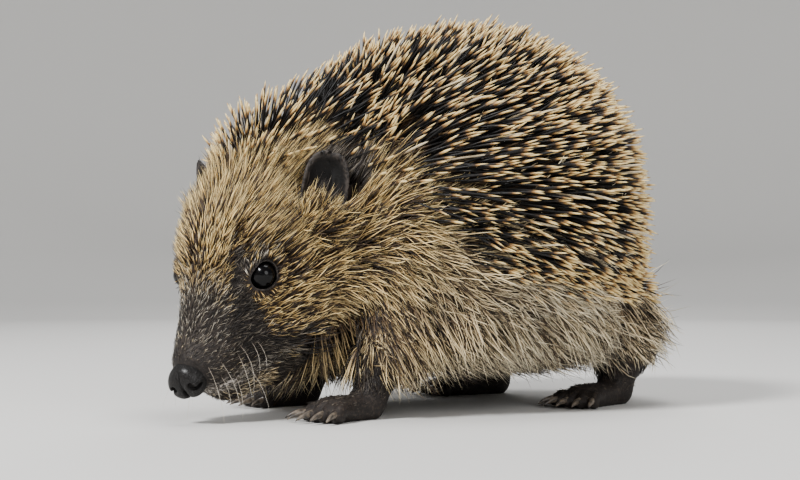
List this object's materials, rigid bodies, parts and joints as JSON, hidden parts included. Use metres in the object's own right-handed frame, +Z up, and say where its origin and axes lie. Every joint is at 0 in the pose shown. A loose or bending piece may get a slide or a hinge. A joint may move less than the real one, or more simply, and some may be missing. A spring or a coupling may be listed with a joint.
{
  "type": "hedgehog",
  "caption": "Life-size European hedgehog standing hunched on its feet, head bent to the ground and turned a little left, spines laid back.",
  "frame": {"origin": "on the floor, under the middle of the model's box", "axes": "+X to the animal's left, +Y from the nose towards the tail, +Z up"},
  "size_m": [0.1068, 0.1572, 0.1119],
  "materials": {
    "spines": "keratin spines, dark brown with a cream band near the tip",
    "hair": "long coarse cream and tan hair in loose locks",
    "face": "short bristly hair, tan on the forehead and grey-brown on the muzzle",
    "nose": "moist, finely pebbled",
    "eye": "glossy, nearly black",
    "ear": "thin dark skin with sparse fine hair",
    "limb": "short brown hair",
    "foot": "dark skin with fine short hair on top",
    "claw": "horn, translucent grey-brown, paler at the tip"
  },
  "bodies": {
    "root": {"back": "spines", "crown": "spines", "trunk": "hair", "neck": "hair", "tail": "hair", "head": "face", "muzzle": "face", "jaw": "face", "nose": "nose", "eye_left": "eye", "eye_right": "eye", "ear_left": "ear", "ear_right": "ear", "leg_fore_left": "limb", "leg_fore_right": "limb", "leg_hind_left": "limb", "leg_hind_right": "limb", "foot_fore_left": "foot", "foot_fore_right": "foot", "foot_hind_left": "foot", "foot_hind_right": "foot"}
  },
  "joints": []
}
